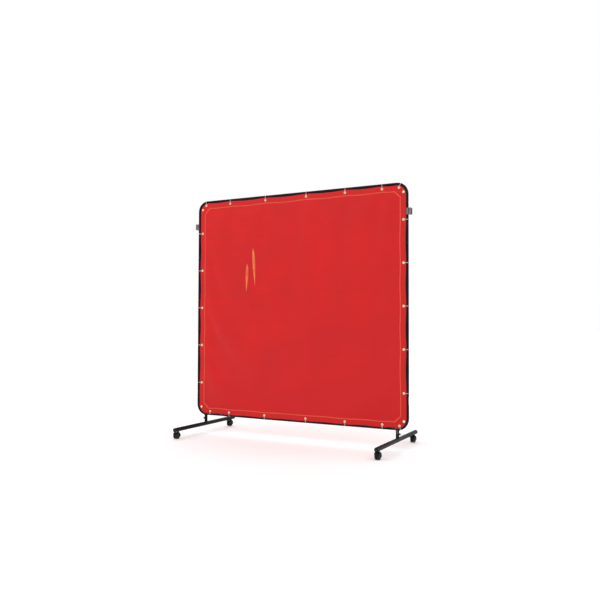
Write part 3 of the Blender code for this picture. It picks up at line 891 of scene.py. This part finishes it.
def stitches_bmesh(settings, top):
    """Two rows of lock stitches along the hem's inner edge, each a short lens-shaped bead."""
    outer, inner = outline_loops(corner_radius(), settings.width, settings.chamfer)
    bm = bmesh.new()
    pitch, radius = settings.stitch_length, settings.thread / 2
    rows = ((-0.0022, top + 0.0005), (0.0026, curtain_thickness() + 0.0007))
    for shift, out in rows:
        share = 1 + shift / settings.width
        loop = [edge + (line - edge) * share for edge, line in zip(outer, inner)]
        loop.append(loop[0])
        travelled = [0.0]
        for first, second in zip(loop, loop[1:]):
            travelled.append(travelled[-1] + (second - first).length)
        count = int(travelled[-1] / pitch)
        part = 0
        for n in range(count):
            distance = travelled[-1] * (n + 0.5) / count
            while travelled[part + 1] < distance:
                part += 1
            along = (loop[part + 1] - loop[part]).normalized()
            flat = loop[part] + along * (distance - travelled[part])
            centre = place(flat.x, flat.y, out + radius * 0.3)
            add_turned(bm, [(0, -0.42 * pitch), (radius * 0.8, -0.24 * pitch), (radius, 0),
                            (radius * 0.8, 0.24 * pitch), (0, 0.42 * pitch)], 6, centre,
                       Vector((along.x, 0, along.y)), FORWARD, closed=False)
    return bm


class SCREEN_OT_creases(bpy.types.Operator):
    """Raise the two hard creases that the folded sheet kept"""
    bl_idname = "screen.creases"
    bl_label = "Creases"

    def execute(self, context):
        left, _, _, top = curtain_edges()
        # Each crease: distance from the left edge, lower and upper end below the top edge, width, lean
        marks = (("long", 0.528, 0.722, 0.388, 0.024, -0.020),
                 ("short", 0.460, 0.762, 0.514, 0.026, 0.010))
        for name, across, low, high, width, lean in marks:
            bm = crease_bmesh(left + across, top - low, top - high, width, lean)
            crease = add_piece(f"crease_{name}", bm, crease_highlight_pvc(), smooth=60.0)
            mark_crease_highlight(crease)
        return {"FINISHED"}


def crease_bmesh(x, low, high, width, lean):
    """A pinched fold: a long tent that is widest above its middle and runs out to points."""
    bm = bmesh.new()
    steps, peak, narrowest = 40, 0.0045, 0.02
    section = ((-0.5, 0.0), (-0.30, 0.28), (-0.10, 0.62), (0.08, 0.95), (0.18, 1.0), (0.28, 0.8),
               (0.40, 0.35), (0.5, 0.0))
    front = curtain_thickness()
    rings = []
    for n in range(steps + 1):
        share = n / steps
        swell = max(math.sin(math.pi * share ** 1.5) ** 0.8, narrowest)
        centre = x + lean * (share - 0.5)
        z = low + (high - low) * share
        ring = [place(centre + width * swell * across, z, front + 0.0001 + peak * swell * rise)
                for across, rise in section]
        ring += [place(centre + width * swell * across, z, front - 0.0002)
                 for across in (0.4, 0.0, -0.4)]
        rings.append(ring)
    add_rings(bm, rings)
    return bm


def mark_crease_highlight(crease):
    """Write how strongly each point of a crease takes the painted highlight, for its material."""
    eased = 0.04    # length over which the painted highlight fades at either end
    mesh = crease.data
    heights = [v.co.z for v in mesh.vertices]
    low, high = min(heights), max(heights)
    attribute = mesh.attributes.new("crease_highlight", "FLOAT", "POINT")
    for z, value in zip(heights, attribute.data):
        value.value = smoothstep(0.0, eased, min(z - low, high - z))


class SCREEN_OT_eyelets(bpy.types.Operator):
    """Press an eyelet into every hole of the curtain"""
    bl_idname = "screen.eyelets"
    bl_label = "Eyelets"

    def execute(self, context):
        settings = context.scene.screen_eyelets
        hem = context.scene.screen_hem
        face = curtain_thickness() + hem.thickness
        inner, outer = settings.inner / 2, settings.outer / 2
        barrel = hole_radius() * math.cos(math.pi / HOLE_SIDES) - 0.0001
        profile = [(inner, -0.0009), (inner, face + 0.0009), (inner + 0.0004, face + 0.0015),
                   (inner + 0.0013, face + 0.0018), (outer - 0.0022, face + 0.0014),
                   (outer - 0.0005, face + 0.0007), (outer, face + 0.0002),
                   (outer - 0.0002, face + 0.00005), (barrel, face + 0.00005), (barrel, -0.00005),
                   (outer - 0.0008, -0.00005), (outer - 0.0006, -0.0004), (outer - 0.0024, -0.0009),
                   (inner + 0.0009, -0.0012)]
        bm = bmesh.new()
        for hole in eyelet_holes():
            add_turned(bm, profile, 40, place(hole.x, hole.y, 0.0), FORWARD, ACROSS)
        add_piece("eyelets", bm, plated_brass(), smooth=50.0)
        return {"FINISHED"}


class SCREEN_OT_cable_ties(bpy.types.Operator):
    """Loop a cable tie around the tube at every tied eyelet"""
    bl_idname = "screen.cable_ties"
    bl_label = "Cable ties"

    def execute(self, context):
        settings = context.scene.screen_ties
        for name, hole in tied_holes().items():
            bm = bmesh.new()
            add_tie(bm, hole, settings)
            tie = add_piece(name.replace("cable_tie", "tie"), bm, moulded_nylon())
            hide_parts(name)
        declare_curtain()
        return {"FINISHED"}


def declare_curtain():
    """Work out the eyelet holes' total area, which nothing uses."""
    holes = len(eyelet_holes()) * math.pi * hole_radius() ** 2


def convex_outline(points):
    """The convex outline of flat points, in counter-clockwise order."""
    ordered = sorted({(round(p[0], 7), round(p[1], 7)) for p in points})

    def chain(candidates):
        kept = []
        for p in candidates:
            while len(kept) > 1:
                (ax, ay), (bx, by) = kept[-2], kept[-1]
                if (bx - ax) * (p[1] - ay) - (by - ay) * (p[0] - ax) > 1e-13:
                    break
                kept.pop()
            kept.append(p)
        return kept[:-1]

    return [Vector(p) for p in chain(ordered) + chain(ordered[::-1])]


def add_tie(bm, hole, settings):
    """A tie's band, locking head and cut tail, around the nearest stretch of tube."""
    axis_point = tube_beside(hole)
    inward = (hole - axis_point).normalized()
    hole_in = (hole - axis_point).length
    radius = tube_radius() + 0.0005
    through_hole = Vector((0.0028, 0.0034))    # half spans of the band's turn inside the eyelet
    back = -curtain_back()
    hem = bpy.context.scene.screen_hem
    eyelet = bpy.context.scene.screen_eyelets
    face = back + curtain_thickness() + hem.thickness
    middle = back + (curtain_thickness() + hem.thickness) / 2
    points = [(radius * math.cos(a), radius * math.sin(a))
              for a in (2 * math.pi * i / 48 for i in range(48))]
    points += [(hole_in + through_hole.x * math.cos(a), middle + through_hole.y * math.sin(a))
               for a in (2 * math.pi * i / 16 for i in range(16))]
    points += [(hole_in - eyelet.inner / 2 - 0.0013, face + 0.0021),
               (hole_in - eyelet.outer / 2, face + 0.0007)]
    path = convex_outline(points)
    rest = Vector((axis_point.x, 0, axis_point.y))
    away = Vector((inward.x, 0, inward.y))
    sideways = away.cross(FORWARD)
    thickness, half, rounding = settings.thickness, settings.width / 2, 0.0004
    section = ((-half, 0.0), (half, 0.0), (half, 0.75), (half - rounding, 1.0),
               (-half + rounding, 1.0), (-half, 0.75))
    rings = []
    for n, here in enumerate(path):
        before, after = path[n - 1], path[(n + 1) % len(path)]
        along = ((here - before).normalized() + (after - here).normalized()).normalized()
        outward = Vector((along.y, -along.x))
        first = (here - before).normalized()
        stretch = 1 / max(0.5, outward.dot(Vector((first.y, -first.x))))
        ring = []
        for side, rise in section:
            flat = here + outward * thickness * rise * stretch
            ring.append(rest + away * flat.x + FORWARD * flat.y + sideways * side)
        rings.append(ring)
    add_rings(bm, rings, closed_along=True)
    add_tie_head(bm, rest, away, sideways, radius, settings)


def add_tie_head(bm, rest, away, sideways, radius, settings):
    """The locking head behind the tube, with the end of the band through it."""
    thickness = settings.thickness
    depth = 0.0042
    centre = rest - FORWARD * (radius + thickness * 0.6 + depth / 2)
    turn = Matrix((away, sideways, -FORWARD)).transposed().to_4x4()
    add_block(bm, Matrix.Translation(centre) @ turn,
              (settings.head_length, settings.head_width, depth), 0.0006)
    tail = centre - away * (settings.head_length / 2 + settings.tail / 2 - 0.0004)
    lean = Matrix.Rotation(math.radians(-8), 4, "Y")
    band = settings.width * 0.92
    add_block(bm, Matrix.Translation(tail) @ turn @ lean, (settings.tail, band, thickness), 0.0002)
    slot = centre + away * (settings.head_length / 2)
    add_block(bm, Matrix.Translation(slot) @ turn, (0.0012, band, thickness * 1.3), 0.0002)


class SCREEN_OT_frame_finish(bpy.types.Operator):
    """Paint the tubes and legs, and add the welds around the posts"""
    bl_idname = "screen.frame_finish"
    bl_label = "Frame finish"

    def execute(self, context):
        materials = {"frame_corner": powder_coated_steel, "upright": powder_coated_steel,
                     "rail": powder_coated_steel, "leg": powder_coated_steel,
                     "end_cap": moulded_polypropylene, "clamp_bolt": zinc_plated_steel,
                     "coupling_clip": moulded_abs}
        for name, node in CAD_NODES.items():
            for start, material in materials.items():
                if name.startswith(start):
                    paint(node, material())
        for side in SIDES:
            soften_edges(f"coupling_clip_{side}", 0.0005)
            soften_edges(f"clamp_bolt_{side}", 0.0005)
            add_weld(side, context.scene.screen_finish.bead)
        return {"FINISHED"}


def soften_edges(name, width):
    """Round a CAD node's sharp edges with modifiers, and leave its mesh alone."""
    node = CAD_NODES[name]
    weld = node.modifiers.new("Weld", "WELD")
    weld.merge_threshold = 0.00001
    bevel = node.modifiers.new("Bevel", "BEVEL")
    bevel.width, bevel.segments, bevel.limit_method = width, 2, "ANGLE"
    bevel.angle_limit = math.radians(40)


def add_weld(side, bead):
    """A rippled bead along the line where a post meets the rail above it."""
    leg = centre_of(f"leg_{side}")
    rail_z = centre_of("rail_bottom").z
    radius = tube_radius()
    steps, ripples, steepest = 120, 30, 0.985
    points = []
    for n in range(steps):
        angle = 2 * math.pi * n / steps
        x, y = radius * math.cos(angle), radius * math.sin(angle)
        drop = math.sqrt(max(0.0, radius ** 2 - min(abs(y), radius * steepest) ** 2))
        points.append(Vector((leg.x + x, y, rail_z - drop)))
    bm = bmesh.new()
    rings = []
    for n, here in enumerate(points):
        along = (points[(n + 1) % steps] - points[n - 1]).normalized()
        out = Vector((here.x - leg.x, here.y, 0)).normalized()
        up = along.cross(out).normalized()
        size = bead * (0.82 + 0.18 * abs(math.sin(ripples * math.pi * n / steps)))
        rings.append([here + size * (math.cos(a) * out + math.sin(a) * up)
                      for a in (2 * math.pi * i / 10 for i in range(10))])
    add_rings(bm, rings, closed_along=True)
    add_piece(f"post_weld_{side}", bm, welded_steel(), smooth=60.0)


class SCREEN_OT_casters(bpy.types.Operator):
    """Fit finished wheels, and finish the hoods and axles"""
    bl_idname = "screen.casters"
    bl_label = "Casters"

    def execute(self, context):
        settings = context.scene.screen_casters
        for name, node in list(CAD_NODES.items()):
            if not name.startswith("caster_"):
                continue
            if "_wheel_" not in name:
                paint(node, zinc_plated_steel() if name.endswith("_axle") else moulded_polypropylene())
                continue
            wheel = add_piece(name.replace("caster", "tread"), wheel_bmesh(name, settings.segments),
                              cast_polyurethane(), body=name, smooth=35.0)
            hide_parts(name)
        return {"FINISHED"}


def wheel_bmesh(name, segments):
    """A wheel with a blind bore, a rounded tread and a hub cap with a turned groove."""
    low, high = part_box(name)
    width = high.x - low.x
    centre = (low + high) / 2
    radius = centre.z
    body_low, body_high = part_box(name.split("_wheel_")[0] + "_body")
    outward = 1 if centre.x > (body_low.x + body_high.x) / 2 else -1
    inner_face = Vector((low.x if outward > 0 else high.x, centre.y, centre.z))
    bore, bore_end = 0.0035, width - 0.004
    profile = [(0, bore_end), (bore, bore_end), (bore, 0), (radius - 0.0010, 0),
               (radius - 0.0002, 0.0004), (radius, 0.0012)]
    # The rest in shares of the radius and the width: tread, shoulder, groove and hub cap.
    profile += [(radius * out, width * along) for out, along in (
        (1, 0.60), (0.985, 0.70), (0.945, 0.80), (0.88, 0.875), (0.78, 0.935), (0.70, 0.962),
        (0.68, 0.93), (0.655, 0.93), (0.64, 0.975), (0.60, 0.992), (0.30, 0.998), (0.27, 0.965),
        (0.10, 0.965), (0, 0.965))]
    bm = bmesh.new()
    add_turned(bm, profile, segments, inner_face, ACROSS * outward, UP, closed=False)
    return bm


class SCREEN_PT_pieces(bpy.types.Panel):
    """The screen's pieces, in the order in which they are made"""
    bl_idname = "SCREEN_PT_pieces"
    bl_label = "Welding screen"
    bl_space_type = "VIEW_3D"
    bl_region_type = "UI"
    bl_category = "Screen"

    def draw(self, context):
        for operator in OPERATORS:
            self.layout.operator(operator.bl_idname, text=operator.bl_label)
        for name in SETTINGS:
            box = self.layout.box()
            group = getattr(context.scene, name)
            for key in group.bl_rna.properties.keys():
                if key not in ("rna_type", "name"):
                    box.prop(group, key)


SETTINGS = {
    "screen_curtain": CurtainSettings,
    "screen_hem": HemSettings,
    "screen_eyelets": EyeletSettings,
    "screen_ties": TieSettings,
    "screen_finish": FrameFinishSettings,
    "screen_casters": CasterSettings,
    "screen_stage": StageSettings,
}
OPERATORS = (SCREEN_OT_stage, SCREEN_OT_curtain, SCREEN_OT_hem, SCREEN_OT_creases, SCREEN_OT_eyelets,
             SCREEN_OT_cable_ties, SCREEN_OT_frame_finish, SCREEN_OT_casters)


def register():
    for name, group in SETTINGS.items():
        bpy.utils.register_class(group)
        setattr(bpy.types.Scene, name, PointerProperty(type=group))
    for operator in OPERATORS:
        bpy.utils.register_class(operator)
    bpy.utils.register_class(SCREEN_PT_pieces)


def unregister():
    bpy.utils.unregister_class(SCREEN_PT_pieces)
    for operator in reversed(OPERATORS):
        bpy.utils.unregister_class(operator)
    for name, group in reversed(SETTINGS.items()):
        delattr(bpy.types.Scene, name)
        bpy.utils.unregister_class(group)


def main():
    register()
    bpy.ops.screen.stage()
    bpy.ops.screen.curtain()
    bpy.ops.screen.hem()
    bpy.ops.screen.creases()
    bpy.ops.screen.eyelets()
    bpy.ops.screen.cable_ties()
    bpy.ops.screen.frame_finish()
    bpy.ops.screen.casters()


if __name__ == "__main__":
    main()
